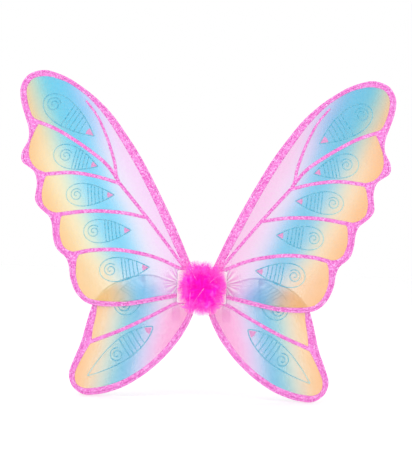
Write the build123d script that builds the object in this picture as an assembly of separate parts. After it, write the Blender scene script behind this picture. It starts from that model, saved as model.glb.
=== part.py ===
"""Fairy wings: four wired and skinned wings on a padded back plate, with a feather puff and two arm loops.

Everything is drawn flat, as seen from the puff side: x to the right, y up, z out towards the puff.
Each part is then stood up, so that it ends with +X to the right, +Z up and the puff towards -Y.
The origin is the centre of the pad's rear face, which rests on the wearer's back. Millimetres.
"""
from build123d import *
import os
from math import radians, tan

# Wings
WIRE_R = 1.0
WIRE_IN = 1.6
HEM_WIDTH = 3.3
HEM_THICK = 3.0
HEM_WALL = 0.35
SKIN_THICK = 0.3
TRIM_THICK = 0.3
UPPER_LEVEL = 13.0
LOWER_LEVEL = 9.0
CREASE_X = 40.0
ROOT_END_X = 37.5
WING_START_X = 43.0
UPPER_FABRIC_X = 19.0
LOWER_FABRIC_X = 14.5

# Hub
PAD_WIDTH = 74.0
PAD_HEIGHT = 49.0
PAD_CORNER = 3.0
COVER_THICK = 0.8
FOAM_THICK = 4.8
BINDING_WIDTH = 2.0
PATCH_LEVEL = 15.6
PATCH_THICK = 1.0
STITCH_PITCH = 3.0
STITCH_INSET = 2.2
STITCH_LONG = 1.8
STITCH_WIDE = 0.4
STITCH_HIGH = 0.3
CRIMP_R = 1.8
CRIMP_LENGTH = 12.0
CRIMP_PLAY = 0.05
WIRE_END_GAP = 0.2
ROOT_BEND_R = 6.0
TAPE_WIDTH = 10.0
TAPE_THICK = 0.35
TAPE_REACH = 3.1
TAPE_PLAY = 0.1
TAPE_CORNER = 1.6
DISC_R = 16.0
DISC_THICK = 1.0
PUFF_R = 35.0
PUFF_TALL = 1.13
PUFF_DEEP = 0.86
PUFF_DROP = 1.5

# Arm loops
STRAP_WIDTH = 12.0
STRAP_THICK = 1.0
STRAP_LINE_X = 38.8
STRAP_LEVEL = 3.2
STRAP_GAP = 1.0
TAB_HEIGHT = 17.0
STRAP_STEM = 14.0

# How much of a run an arc may use, and the turn below which a corner needs no arc
ARC_SHARE = 0.45
LEAST_TURN = 1.0
BIG = 1000.0

# Outer edge of the right upper wing, clockwise from the top of its root: the corners that its arcs round off
UPPER_EDGE = [
    (12, 21), (41, 87), (76, 154), (100.5, 197), (142, 254.5), (174, 284), (212, 308.5), (246, 319),
    (271.5, 311), (283, 291), (280.5, 268), (267, 229), (266.3, 213), (277.5, 192), (277, 178.5),
    (256, 165), (251.8, 148), (255.3, 122), (248, 111), (231, 97.5), (227, 83), (226.3, 69), (221, 50),
    (204.5, 37.5), (200, 25), (198, 6), (189, -15.5), (173, -30.5), (150, -34.2), (112, -33),
    (72, -24.5), (12, -11.5),
]
# Where the glittered border stops, with a sharp corner at each vein
UPPER_INNER = [
    (26.5, 27), (51, 74.5), (83, 140), (113, 192), (151, 249), (180, 280), (212, 301), (243, 309),
    (264, 305), (273.3, 290), (270.5, 267), (262.5, 246), (251, 239.5), (256.5, 229.5), (265.8, 206),
    (266.2, 185), (255, 168.5), (236, 162.5), (241, 155), (245.3, 133), (243, 116), (231, 105.5),
    (212, 102.5), (215.5, 94.5), (216.8, 72), (210, 53), (199, 46.5), (184, 46), (189, 36), (190.3, 12),
    (183.5, -9), (170, -23.5), (145, -26.5), (110, -26), (66, -16.2), (24, -8),
]
UPPER_SHARP = (0, 12, 17, 22, 27, 35)
# Middle line of each vein with its width at the two ends
UPPER_VEINS = [
    ([(27, 27), (46, 52), (88, 104.5), (131, 154), (135, 166)], 4.4, 5.6),
    ([(134, 158), (136, 180), (149, 219), (165, 252), (183, 273.5)], 5.2, 3.0),
    ([(132, 158), (150, 181), (185, 206), (226, 230), (262, 242)], 5.2, 5.4),
    ([(126, 150), (157, 159.5), (198, 166), (246, 160.5)], 4.8, 5.6),
    ([(86, 101), (119, 107.5), (170, 109.5), (222, 101)], 5.0, 5.8),
    ([(28, 24), (70, 43), (124, 52.5), (168, 50), (195, 43)], 5.0, 6.0),
]
# The same for the right lower wing, whose border leaves out the top edge that the upper wing covers
LOWER_EDGE = [
    (8, -4), (40, 6), (78, 18.5), (112, 12.5), (142, -3), (161, -24), (169, -50), (178.5, -90),
    (188, -113), (196.5, -137), (190.5, -156), (173, -168.5), (145, -166), (112, -154.5), (80, -133.5),
    (53, -108.5), (29, -78), (14, -49), (8, -25),
]
LOWER_INNER = [
    (17, -24), (21, -44), (36, -70.5), (57, -99.5), (84, -125), (115, -145), (146, -155.5), (172, -158.5),
    (184.5, -152), (187, -136.5), (180, -119.5), (170.5, -101), (163, -88), (161.8, -70), (157, -46),
    (156, -30), (172, -22), (150, 16), (112, 30), (78, 36), (40, 24), (6, 8), (6, -24),
]
LOWER_SHARP = (0, 12, 15)
LOWER_VEINS = [([(13, -24.5), (36, -24), (67, -42), (117, -68.5), (170, -90)], 4.4, 5.8)]

# Right arm loop, from its upper sewn end round to its lower one: distance behind the pad's side, and height
STRAP_ROUTE = [
    (9, 17), (34, 24), (62, 50), (98, 60), (130, 40), (142, 0), (128, -40), (94, -60), (58, -48), (32, -24),
    (9, -17),
]


def corner_radius(before, here, after):
    """The largest arc that the runs beside a corner leave room for."""
    turn = (here - before).get_angle(after - here)
    if turn < LEAST_TURN:
        return 0
    run = min((here - before).length, (after - here).length)
    return ARC_SHARE * run / tan(radians(turn) / 2)


def rounded_face(points, sharp=()):
    """A flat face whose outline is straight runs joined by arcs."""
    corners = [Vector(*p) for p in points]
    radii = []
    for i, here in enumerate(corners):
        after = corners[(i + 1) % len(corners)]
        radii.append(0 if i in sharp else corner_radius(corners[i - 1], here, after))
    return make_face(FilletPolyline(*corners, radius=radii, close=True))


def right_of(run):
    """The unit direction to the right of a run."""
    along = run.normalized()
    return Vector(along.Y, -along.X)


def inset(edge, depth):
    """The corners and arc radii of a line that runs the same depth inside a clockwise wing edge."""
    corners = [Vector(*p) for p in edge]
    last = len(corners) - 1
    moved = []
    radii = []
    for i, here in enumerate(corners):
        before = corners[i - 1]
        after = corners[(i + 1) % len(corners)]
        radius = ROOT_BEND_R if i in (0, last) else corner_radius(before, here, after)
        first = right_of(here - before)
        second = right_of(after - here)
        bulges = first.dot(after - here) > 0
        moved.append(here + (first + second) * (depth / (1 + first.dot(second))))
        radii.append(0 if radius == 0 else radius - depth if bulges else radius + depth)
    return moved, radii


def wing_face(edge, depth=0):
    """The whole wing's flat shape, less an even margin all round."""
    moved, radii = inset(edge, depth)
    return make_face(FilletPolyline(*moved, radius=radii, close=True))


def strip(points, start_width, end_width):
    """A flat strip along a line, with an even taper from one end to the other."""
    corners = [Vector(*p) for p in points]
    last = len(corners) - 1
    right_side = []
    left_side = []
    for i, here in enumerate(corners):
        before = corners[max(i - 1, 0)]
        after = corners[min(i + 1, last)]
        half = (start_width + (end_width - start_width) * i / last) / 2
        aside = right_of(after - before) * half
        right_side.append(tuple(here + aside)[:2])
        left_side.append(tuple(here - aside)[:2])
    return rounded_face(left_side + right_side[::-1], (0, last, last + 1, 2 * last + 1))


def slab(face, low, high):
    """A flat face made solid between two levels."""
    return extrude(Pos(0, 0, low) * face, amount=high - low)


def between(low_x, high_x):
    """All the space between two upright planes."""
    return Pos((low_x + high_x) / 2, 0, 0) * Box(high_x - low_x, BIG, BIG)


def root_middle(edge):
    """Where the two ends of a wing's wire meet: the middle of the upright run at its root."""
    moved, _ = inset(edge, WIRE_IN)
    return moved[0].X, (moved[0].Y + moved[-1].Y) / 2


def wing_wire(edge, level):
    """One closed loop of coated wire, opened where its two ends meet in the crimp."""
    moved, radii = inset(edge, WIRE_IN)
    root_x, middle = root_middle(edge)
    start = Vector(root_x, middle + WIRE_END_GAP)
    end = Vector(root_x, middle - WIRE_END_GAP)
    path = Pos(0, 0, level) * FilletPolyline(start, *moved, end, radius=radii)
    section = Plane(path @ 0, z_dir=path % 0) * Circle(WIRE_R)
    return sweep(section, path)


def wing_hem(edge, level):
    """The fabric edge folded round the wire: a hollow rim."""
    outer = wing_face(edge) - wing_face(edge, HEM_WIDTH)
    hollow = wing_face(edge, HEM_WALL) - wing_face(edge, HEM_WIDTH - HEM_WALL)
    half = HEM_THICK / 2
    rim = slab(outer, level - half, level + half)
    return rim - slab(hollow, level - half + HEM_WALL, level + half - HEM_WALL)


def wing_skin(edge, level):
    """The sheer panel stretched across the wire."""
    return slab(wing_face(edge, HEM_WIDTH), level - SKIN_THICK / 2, level + SKIN_THICK / 2)


def wing_trim(edge, inner, sharp, veins, level):
    """The glittered border and veins that lie on the panel's front."""
    panel = wing_face(edge, HEM_WIDTH)
    face = panel - rounded_face(inner, sharp)
    for points, start_width, end_width in veins:
        face += strip(points, start_width, end_width) & panel
    front = level + SKIN_THICK / 2
    return slab(face, front, front + TRIM_THICK)


def wing_parts(name, edge, inner, sharp, veins, level, fabric_start):
    """One right-hand wing, cut at its crease into the part that folds and the part held by the pad."""
    whole = {
        "wire": wing_wire(edge, level),
        "hem": wing_hem(edge, level),
        "skin": wing_skin(edge, level),
        "trim": wing_trim(edge, inner, sharp, veins, level),
    }
    parts = {}
    for kind, shape in whole.items():
        root_start = 0 if kind == "wire" else fabric_start
        parts[f"{name}_{kind}"] = shape & between(WING_START_X, BIG)
        parts[f"{name}_{kind}_root"] = shape & between(root_start, ROOT_END_X)
    return parts


def wing_crimp(edge, level):
    """The sleeve that holds the two ends of a wing's wire."""
    root_x, middle = root_middle(edge)
    sleeve = Circle(CRIMP_R) - Circle(WIRE_R + CRIMP_PLAY)
    upright = Plane((root_x, middle - CRIMP_LENGTH / 2, level), z_dir=(0, 1, 0))
    return extrude(upright * sleeve, amount=CRIMP_LENGTH)


def wing_tape(edge, level):
    """The tape wrapped round the left and right crimps of one pair of wings."""
    root_x, middle = root_middle(edge)
    half_x = root_x + TAPE_REACH
    half_z = CRIMP_R + TAPE_PLAY
    outer = RectangleRounded(2 * (half_x + TAPE_THICK), 2 * (half_z + TAPE_THICK), TAPE_CORNER)
    band = outer - RectangleRounded(2 * half_x, 2 * half_z, TAPE_CORNER - TAPE_THICK)
    upright = Plane((0, middle - TAPE_WIDTH / 2, level), x_dir=(1, 0, 0), z_dir=(0, 1, 0))
    return extrude(upright * band, amount=TAPE_WIDTH)


def pad_parts():
    """The pad against the back: two covers, foam and an edge binding with a slot for each strap end."""
    outline = RectangleRounded(PAD_WIDTH, PAD_HEIGHT, PAD_CORNER)
    core = RectangleRounded(PAD_WIDTH - 2 * BINDING_WIDTH, PAD_HEIGHT - 2 * BINDING_WIDTH, PAD_CORNER / 2)
    foam_top = COVER_THICK + FOAM_THICK
    binding = slab(outline - core, COVER_THICK, foam_top)
    for tab in tab_solids():
        binding -= tab
    return {
        "pad_back_cover": slab(outline, 0, COVER_THICK),
        "pad_foam": slab(core, COVER_THICK, foam_top),
        "pad_edge_binding": binding,
        "pad_front_cover": slab(outline, foam_top, foam_top + COVER_THICK),
    }


def tab_solids():
    """The four strap ends sewn into the pad's edge."""
    tab = Box(BINDING_WIDTH, STRAP_WIDTH, STRAP_THICK)
    tabs = []
    for side in (-1, 1):
        for height in (-TAB_HEIGHT, TAB_HEIGHT):
            tabs.append(Pos(side * (PAD_WIDTH - BINDING_WIDTH) / 2, height, STRAP_LEVEL) * tab)
    return tabs


def patch_stitches():
    """The row of stitches round the front patch."""
    long_side = PAD_WIDTH / 2 - STITCH_INSET
    short_side = PAD_HEIGHT / 2 - STITCH_INSET
    level = PATCH_LEVEL + PATCH_THICK + STITCH_HIGH / 2 + 0.01
    across = Box(STITCH_LONG, STITCH_WIDE, STITCH_HIGH)
    upright = Box(STITCH_WIDE, STITCH_LONG, STITCH_HIGH)
    stitches = []
    for side in (-1, 1):
        for i in range(-11, 12):
            stitches.append(Pos(i * STITCH_PITCH, side * short_side, level) * across)
        for i in range(-6, 7):
            stitches.append(Pos(side * long_side, i * STITCH_PITCH, level) * upright)
    return stitches


def feather_puff():
    """The soft outer form of the feather puff, flat where it is glued on."""
    level = PATCH_LEVEL + PATCH_THICK + DISC_THICK
    dome = Sphere(PUFF_R) & (Pos(0, 0, BIG / 2) * Box(BIG, BIG, BIG))
    return Pos(0, -PUFF_DROP, level) * scale(dome, by=(1, PUFF_TALL, PUFF_DEEP))


def arm_loop():
    """The right-hand elastic loop: a band on edge round the arm, with two upright stems at the pad."""
    band = extrude(strip(STRAP_ROUTE, STRAP_THICK, STRAP_THICK), amount=STRAP_WIDTH / 2, both=True)
    for height in (-TAB_HEIGHT, TAB_HEIGHT):
        stem = Box(STRAP_STEM - STRAP_GAP, STRAP_WIDTH, STRAP_THICK)
        band += Pos((STRAP_STEM + STRAP_GAP) / 2, height, 0) * stem
    return Pos(STRAP_LINE_X, 0, STRAP_LEVEL) * (Rot(0, 90, 0) * band)


def mirrored(shape):
    """The left-hand twin of a right-hand part."""
    return mirror(shape, about=Plane.YZ)


def build():
    """Every part in the flat frame, by name."""
    parts = {}
    upper = (UPPER_EDGE, UPPER_INNER, UPPER_SHARP, UPPER_VEINS, UPPER_LEVEL, UPPER_FABRIC_X)
    lower = (LOWER_EDGE, LOWER_INNER, LOWER_SHARP, LOWER_VEINS, LOWER_LEVEL, LOWER_FABRIC_X)
    right = wing_parts("upper_right", *upper) | wing_parts("lower_right", *lower)
    right["upper_right_crimp"] = wing_crimp(UPPER_EDGE, UPPER_LEVEL)
    right["lower_right_crimp"] = wing_crimp(LOWER_EDGE, LOWER_LEVEL)
    right["right_strap"] = arm_loop()
    for name, shape in right.items():
        parts[name] = shape
        parts[name.replace("right", "left")] = mirrored(shape)
    parts |= pad_parts()
    parts["strap_tabs"] = Compound(children=tab_solids())
    parts["upper_tape"] = wing_tape(UPPER_EDGE, UPPER_LEVEL)
    parts["lower_tape"] = wing_tape(LOWER_EDGE, LOWER_LEVEL)
    patch = RectangleRounded(PAD_WIDTH, PAD_HEIGHT, PAD_CORNER)
    parts["front_patch"] = slab(patch, PATCH_LEVEL, PATCH_LEVEL + PATCH_THICK)
    parts["patch_stitches"] = Compound(children=patch_stitches())
    disc_level = PATCH_LEVEL + PATCH_THICK
    parts["puff_disc"] = slab(Circle(DISC_R), disc_level, disc_level + DISC_THICK)
    parts["feather_puff"] = feather_puff()
    return parts


os.makedirs("parts", exist_ok=True)
for part_name, part_shape in build().items():
    export_step(Rot(90, 0, 0) * part_shape, f"parts/{part_name}.step")
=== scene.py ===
"""Fairy wings: four wired organza wings with glittered borders on a padded back plate with two arm loops.

A satin patch with a marabou puff covers the wing roots. Lengths are in metres. X runs to the right, Z up and
-Y out towards the puff.
"""
import math

import bmesh
import bpy
import numpy as np
from bpy.props import FloatProperty, FloatVectorProperty, IntProperty, PointerProperty
from mathutils import Euler, Matrix, Vector
from mathutils.geometry import delaunay_2d_cdt


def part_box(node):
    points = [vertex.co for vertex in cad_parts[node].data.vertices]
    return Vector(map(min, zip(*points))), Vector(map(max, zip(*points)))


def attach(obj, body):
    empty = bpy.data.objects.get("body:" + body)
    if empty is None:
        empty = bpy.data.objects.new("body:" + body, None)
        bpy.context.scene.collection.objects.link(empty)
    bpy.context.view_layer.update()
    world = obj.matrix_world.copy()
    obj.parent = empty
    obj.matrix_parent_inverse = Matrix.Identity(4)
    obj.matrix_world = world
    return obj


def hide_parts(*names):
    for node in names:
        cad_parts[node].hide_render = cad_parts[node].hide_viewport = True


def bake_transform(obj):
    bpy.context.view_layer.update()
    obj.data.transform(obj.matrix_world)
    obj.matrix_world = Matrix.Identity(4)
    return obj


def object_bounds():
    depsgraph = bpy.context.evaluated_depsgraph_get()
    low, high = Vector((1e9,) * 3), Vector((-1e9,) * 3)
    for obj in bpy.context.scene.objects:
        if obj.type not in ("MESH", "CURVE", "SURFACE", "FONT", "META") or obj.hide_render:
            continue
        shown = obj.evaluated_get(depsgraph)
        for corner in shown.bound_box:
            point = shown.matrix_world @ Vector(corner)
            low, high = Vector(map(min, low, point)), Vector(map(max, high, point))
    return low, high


bl_info = {
    "name": "Fairy wings",
    "version": (1, 0, 0),
    "blender": (4, 5, 0),
    "location": "3D View > Sidebar > Fairy wings",
    "description": "Builds wired organza fairy wings with a marabou puff",
    "category": "Add Mesh",
}

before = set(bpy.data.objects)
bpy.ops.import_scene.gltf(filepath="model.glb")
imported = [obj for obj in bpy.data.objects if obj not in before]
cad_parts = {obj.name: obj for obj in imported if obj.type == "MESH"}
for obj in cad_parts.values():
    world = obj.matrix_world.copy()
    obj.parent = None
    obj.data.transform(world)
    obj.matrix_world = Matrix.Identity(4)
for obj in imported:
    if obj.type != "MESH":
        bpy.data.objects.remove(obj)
cad_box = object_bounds()

MM = 0.001
SIDES = (("left", -1), ("right", 1))
HUB = "hub"


def srgb(red, green, blue):
    """A linear colour from the three numbers of a colour chart, 0 to 255."""
    linear = []
    for part in (red, green, blue):
        share = part / 255
        linear.append(share / 12.92 if share <= 0.04045 else ((share + 0.055) / 1.055) ** 2.4)
    return tuple(linear)


def colour_property(name, description, chart):
    """A colour that a user may change."""
    return FloatVectorProperty(
        name=name, description=description, subtype="COLOR", size=3, min=0, max=1, default=srgb(*chart)
    )


def length_property(name, description, default):
    """A length that a user may change."""
    return FloatProperty(name=name, description=description, default=default, unit="LENGTH", precision=5)


class WINGS_PG_sizes(bpy.types.PropertyGroup):
    """Sizes of the soft pieces."""

    cloth_pitch: length_property("Cloth pitch", "Spacing of the points of a wing's cloth", 4 * MM)
    cloth_thick: length_property("Cloth thickness", "Thickness of the organza", 0.3 * MM)
    billow: length_property("Billow", "How far the stretched cloth swells between its edges", 1.0 * MM)
    pleat_depth: length_property("Pleat depth", "Depth of the small pleats at a wing's root", 0.75 * MM)
    glitter_grain: length_property("Glitter grain", "Size of one glitter flake", 1.65 * MM)
    line_width: length_property("Printed line", "Width of the printed lines", 1.45 * MM)
    line_thick: length_property("Print thickness", "How far a printed line stands up", 0.12 * MM)
    stitch_pitch: length_property("Stitch pitch", "From one stitch to the next", 3 * MM)
    plumes: IntProperty(name="Plumes", description="Number of feathers in the puff", default=150, min=10)
    barbs: IntProperty(name="Barbs", description="Barbs on one feather", default=54, min=10)
    strap_width: length_property("Strap width", "Width of the elastic", 12 * MM)
    strap_thick: length_property("Strap thickness", "Thickness of the elastic", 1.0 * MM)


class WINGS_PG_colours(bpy.types.PropertyGroup):
    """Colours of the cloth, glitter and feathers."""

    glitter: colour_property("Glitter", "Border and veins", (246, 131, 218))
    glitter_dark: colour_property("Dark flake", "Flakes turned from the light", (222, 84, 186))
    glitter_light: colour_property("Light flake", "Flakes turned to the light", (255, 200, 250))
    print_line: colour_property("Printed line", "Turquoise outlines", (30, 160, 194))
    print_pale: colour_property("Pale line", "Outlines on the warm end of the cloth", (158, 200, 196))
    print_tip: colour_property("Printed tip", "Small pink points of the outlines", (205, 122, 178))
    feather: colour_property("Feather", "Heart of the puff", (255, 20, 190))
    feather_pale: colour_property("Pale feather", "Outer ends of the barbs", (252, 92, 205))
    quill: colour_property("Quill", "Shafts of the feathers", (255, 190, 236))
    satin: colour_property("Satin", "Patch and tapes", (250, 246, 249))
    # The pad and its binding are white cloth, greyed here as painted shade
    pad: colour_property("Pad", "Cloth of the pad", (240, 236, 243))
    binding: colour_property("Binding", "Tape round the pad's edge", (226, 220, 230))
    elastic: colour_property("Elastic", "Arm loops", (250, 248, 251))
    thread: colour_property("Thread", "Sewing thread", (212, 206, 216))
    wire_coat: colour_property("Wire coat", "Plastic coat of the wires", (240, 240, 240))
    steel: colour_property("Steel", "Crimped sleeves", (170, 172, 176))
    felt: colour_property("Felt", "Disc under the puff", (240, 60, 180))
    floor: colour_property("Floor", "Studio floor", (255, 255, 255))


def sizes():
    """The sizes in use."""
    return bpy.context.scene.wings_sizes


def colours():
    """The colours in use."""
    return bpy.context.scene.wings_colours


# Shaders


class Signal:
    """A number that varies over a surface, so that shader maths reads as arithmetic."""

    def __init__(self, finish, socket):
        self.finish = finish
        self.socket = socket

    def __add__(self, other):
        return self.finish.maths("ADD", self, other)

    __radd__ = __add__

    def __sub__(self, other):
        return self.finish.maths("SUBTRACT", self, other)

    def __rsub__(self, other):
        return self.finish.maths("SUBTRACT", other, self)

    def __mul__(self, other):
        return self.finish.maths("MULTIPLY", self, other)

    __rmul__ = __mul__

    def __truediv__(self, other):
        return self.finish.maths("DIVIDE", self, other)

    def __rtruediv__(self, other):
        return self.finish.maths("DIVIDE", other, self)

    def __pow__(self, other):
        return self.finish.maths("POWER", self, other)

    def wave(self):
        """A sine from 0 to 1."""
        return self.finish.maths("SINE", self) * 0.5 + 0.5

    def within(self, low, high, unit_size=1.0):
        """A smooth step from 0 at low to 1 at high."""
        settings = {"interpolation_type": "SMOOTHSTEP"}
        sockets = {0: self, 1: low * unit_size, 2: high * unit_size}
        node = self.finish.add("ShaderNodeMapRange", settings, sockets)
        return Signal(self.finish, node.outputs[0])


class Finish:
    """A material made of nodes."""

    def __init__(self, name, **constants):
        self.material = bpy.data.materials.new(name)
        self.material.use_nodes = True
        self.tree = self.material.node_tree
        self.tree.nodes.clear()
        self.surface = self.add("ShaderNodeBsdfPrincipled")
        self.add("ShaderNodeOutputMaterial", {}, {"Surface": self.surface.outputs[0]})
        for socket, value in constants.items():
            self.surface.inputs[socket.replace("_", " ")].default_value = value

    def add(self, kind, settings=None, sockets=None):
        """One node of a kind, with its settings and then the values or links of its sockets."""
        node = self.tree.nodes.new(kind)
        for name, value in (settings or {}).items():
            if name == "stops":
                self.set_stops(node.color_ramp, *value)
            else:
                setattr(node, name, value)
        for name, value in (sockets or {}).items():
            self.join(node.inputs[name], value)
        return node

    @staticmethod
    def set_stops(ramp, stops, how):
        """Places a ramp's colours."""
        ramp.interpolation = how
        for _ in range(len(stops) - 2):
            ramp.elements.new(0.5)
        for element, (place, colour) in zip(ramp.elements, stops):
            element.position = place
            element.color = (*colour, 1)

    def join(self, socket, value):
        """Links a socket, or sets its value."""
        if isinstance(value, Signal):
            value = value.socket
        if isinstance(value, bpy.types.NodeSocket):
            self.tree.links.new(value, socket)
        elif hasattr(value, "__len__") and len(value) == 3 and socket.type == "RGBA":
            socket.default_value = (*value, 1)
        else:
            socket.default_value = value

    def maths(self, operation, *values):
        """A Math node."""
        node = self.add("ShaderNodeMath", {"operation": operation}, dict(enumerate(values)))
        return Signal(self, node.outputs[0])

    def mix(self, factor, first, second, how="MIX"):
        """A mix of two colours."""
        settings = {"data_type": "RGBA", "blend_type": how}
        return self.add("ShaderNodeMix", settings, {0: factor, 6: first, 7: second}).outputs[2]

    def ramp(self, signal, stops, how="LINEAR"):
        """A colour that follows a signal through stops."""
        return self.add("ShaderNodeValToRGB", {"stops": (stops, how)}, {0: signal}).outputs[0]

    def place(self):
        """The rest position stored on the mesh."""
        return self.add("ShaderNodeUVMap", {"uv_map": REST_MAP}).outputs[0]

    def axes(self, vector):
        """The three parts of a vector."""
        node = self.add("ShaderNodeSeparateXYZ", {}, {0: vector})
        return [Signal(self, output) for output in node.outputs]

    def spot(self):
        """The position in the frame, for pieces that never bend."""
        return self.add("ShaderNodeTexCoord").outputs["Object"]

    def noise(self, vector, size, detail=2.0, roughness=0.5):
        """Soft noise with features of a size."""
        sockets = {"Vector": vector, "Scale": 1 / size, "Detail": detail, "Roughness": roughness}
        return Signal(self, self.add("ShaderNodeTexNoise", {}, sockets).outputs[0])

    def grains(self, vector, size):
        """A random number for each flake of a size."""
        node = self.add("ShaderNodeTexVoronoi", {}, {"Vector": vector, "Scale": 1 / size})
        return self.axes(node.outputs["Color"])[0]

    def emboss(self, height, depth, strength=1.0):
        """Raises the surface by a height signal times a depth."""
        node = self.add("ShaderNodeBump", {}, {"Strength": strength, "Distance": depth, "Height": height})
        self.join(self.surface.inputs["Normal"], node.outputs[0])

    def feed(self, socket, value):
        """Feeds one input of the surface."""
        self.join(self.surface.inputs[socket], value)

    def paint(self, colour):
        """Feeds the surface's colour, held down so that the lit surface shows the colour asked for."""
        share = 1 / FRONT_LIGHT
        self.feed("Base Color", self.mix(1.0, colour, (share, share, share), "MULTIPLY"))


REST_MAP = "Rest"
finishes = {}


def finish(name, make, *details):
    """A material, made the first time it is asked for."""
    if name not in finishes:
        finishes[name] = make(name, *details)
    return finishes[name]


def glitter(name, bare=0.0):
    """Loose flakes bedded in a clear pink binder, left off the first bare metres of a rim."""
    tint = colours()
    look = Finish(name, IOR=1.45, Metallic=0.0)
    place = look.place()
    grain = sizes().glitter_grain
    coarse = look.grains(place, grain)
    fine = look.grains(place, grain * FINE_FLAKE)
    flake = coarse * 0.68 + fine * 0.32
    stops = [(0.16, tint.glitter_dark[:]), (0.42, tint.glitter[:]), (0.62, tint.glitter[:]),
             (0.86, tint.glitter_light[:])]
    patchy = look.noise(place, 14 * MM).within(0.25, 0.85)
    shown = look.ramp(flake + patchy * 0.14 - 0.07, stops)
    if bare:
        along, _, _ = look.axes(place)
        coated = along.within(bare - COAT_EDGE, bare)
        shown = look.mix(coated, RIM_CLOTH, shown)
        look.feed("Alpha", coated * (1 - BARE_VEIL) + BARE_VEIL)
    look.paint(shown)
    look.feed("Roughness", 0.62 - 0.3 * fine)
    look.emboss(flake, 0.25 * MM, 0.6)
    return look.material


# The size of the small flakes beside the large ones
FINE_FLAKE = 0.45
# The dyed cloth of a rim with no glitter on it: its colour, its opacity and how softly the glitter starts
RIM_CLOTH = (0.80, 0.88, 0.94)
BARE_VEIL = 0.2
COAT_EDGE = 2 * MM


def film(chart):
    """The opacity and own colour of dyed sheer cloth that looks like a chart colour over white."""
    seen = srgb(*chart)
    clear = SHEER * min(seen)
    own = [max(part - clear * BACK_LIGHT, 0) / (1 - clear) for part in seen]
    return 1 - math.sqrt(clear), own


# How much of what lies behind it the thinnest cloth lets through
SHEER = 0.78
# How bright a white surface looks that faces the front, and the backdrop
FRONT_LIGHT = 1.17
BACK_LIGHT = 1.08
# The dye across the cloth: distance out from the middle of its blue band in mm, and colour
UPPER_DYE = [
    (-90, (250, 198, 236)), (-60, (252, 212, 243)), (-45, (247, 222, 248)), (-32, (226, 224, 249)),
    (-20, (182, 217, 246)), (-8, (136, 207, 239)), (4, (116, 202, 234)), (17, (140, 209, 237)),
    (29, (184, 220, 230)), (39, (222, 227, 214)), (48, (243, 227, 198)), (58, (252, 222, 185)),
    (68, (252, 214, 168)), (82, (253, 197, 138)),
]
# The same near the tip of an upper wing
TIP_DYE = [
    (-90, (252, 196, 232)), (-62, (248, 207, 240)), (-47, (222, 208, 242)), (-34, (178, 202, 239)),
    (-20, (122, 194, 232)), (-8, (104, 196, 230)), (4, (98, 195, 227)), (14, (104, 196, 222)),
    (24, (148, 206, 214)), (34, (198, 210, 196)), (44, (226, 204, 172)), (54, (246, 198, 146)),
    (66, (252, 188, 134)), (82, (252, 182, 124)),
]
TIP_RISE = (150 * MM, 270 * MM)
# The same near the foot of an upper wing, where the blue band is paler
FOOT_DYE = [
    (-90, (250, 198, 236)), (-60, (252, 206, 240)), (-45, (250, 214, 246)), (-32, (238, 220, 249)),
    (-20, (216, 221, 249)), (-8, (184, 215, 246)), (4, (170, 213, 243)), (15, (196, 220, 234)),
    (26, (226, 224, 218)), (37, (246, 223, 198)), (48, (253, 219, 182)), (60, (253, 213, 170)),
    (82, (253, 199, 143)),
]
FOOT_DROP = (5 * MM, 62 * MM)
# The same near the covered top edge of a lower wing
COVERED_DYE = [
    (-85, (250, 200, 234)), (-45, (252, 224, 248)), (-28, (238, 226, 250)), (-15, (198, 222, 249)),
    (0, (166, 216, 246)), (12, (204, 222, 236)), (24, (248, 216, 210)), (38, (255, 204, 184)),
    (55, (255, 206, 172)), (76, (254, 208, 164)),
]
COVERED_RISE = (-42 * MM, -14 * MM)
LOWER_DYE = [
    (-85, (250, 156, 214)), (-52, (251, 172, 222)), (-40, (247, 187, 230)), (-29, (226, 198, 238)),
    (-19, (194, 208, 241)), (-9, (152, 203, 237)), (1, (118, 199, 233)), (11, (132, 206, 230)),
    (21, (166, 214, 222)), (31, (204, 220, 208)), (42, (238, 219, 190)), (52, (250, 215, 168)),
    (62, (253, 205, 148)), (76, (252, 192, 128)),
]
DYE_SPAN = (-90, 90)
# Where the blue band lies: its x at the root's height in mm, and how far it leans out per mm of height
BAND_LINES = {"upper": (97, 0.445), "lower": (86, -0.2)}
# How far the band wanders, in mm, and the size of its wanderings
BAND_WOBBLE = 10
WOBBLE_SIZE = 55 * MM
# The left upper wing is a little paler: shares of red, green and blue
PALE_SIDE = (1.0, 1.06, 1.05)


def band_place(look, wing):
    """Distance from the middle of the blue band, as a share of the dye's whole span."""
    across, up, _ = look.axes(look.place())
    start, lean = BAND_LINES[wing]
    away = across / MM - start - up / MM * lean
    wobble = look.noise(look.place(), WOBBLE_SIZE, 1.0) * BAND_WOBBLE - BAND_WOBBLE / 2
    low, high = DYE_SPAN
    return (away + wobble - low) / (high - low)


def dyed(look, band, dyes, warmth):
    """Own colour and opacity of one face of the cloth, across the blue band."""
    low, high = DYE_SPAN
    own_stops = []
    veil_stops = []
    for place, chart in dyes:
        toned = [min(255, part * share) for part, share in zip(chart, warmth)]
        veil, own = film(toned)
        share = (place - low) / (high - low)
        own_stops.append((share, own))
        veil_stops.append((share, (veil, veil, veil)))
    return look.ramp(band, own_stops, "B_SPLINE"), look.ramp(band, veil_stops, "B_SPLINE")


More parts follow.
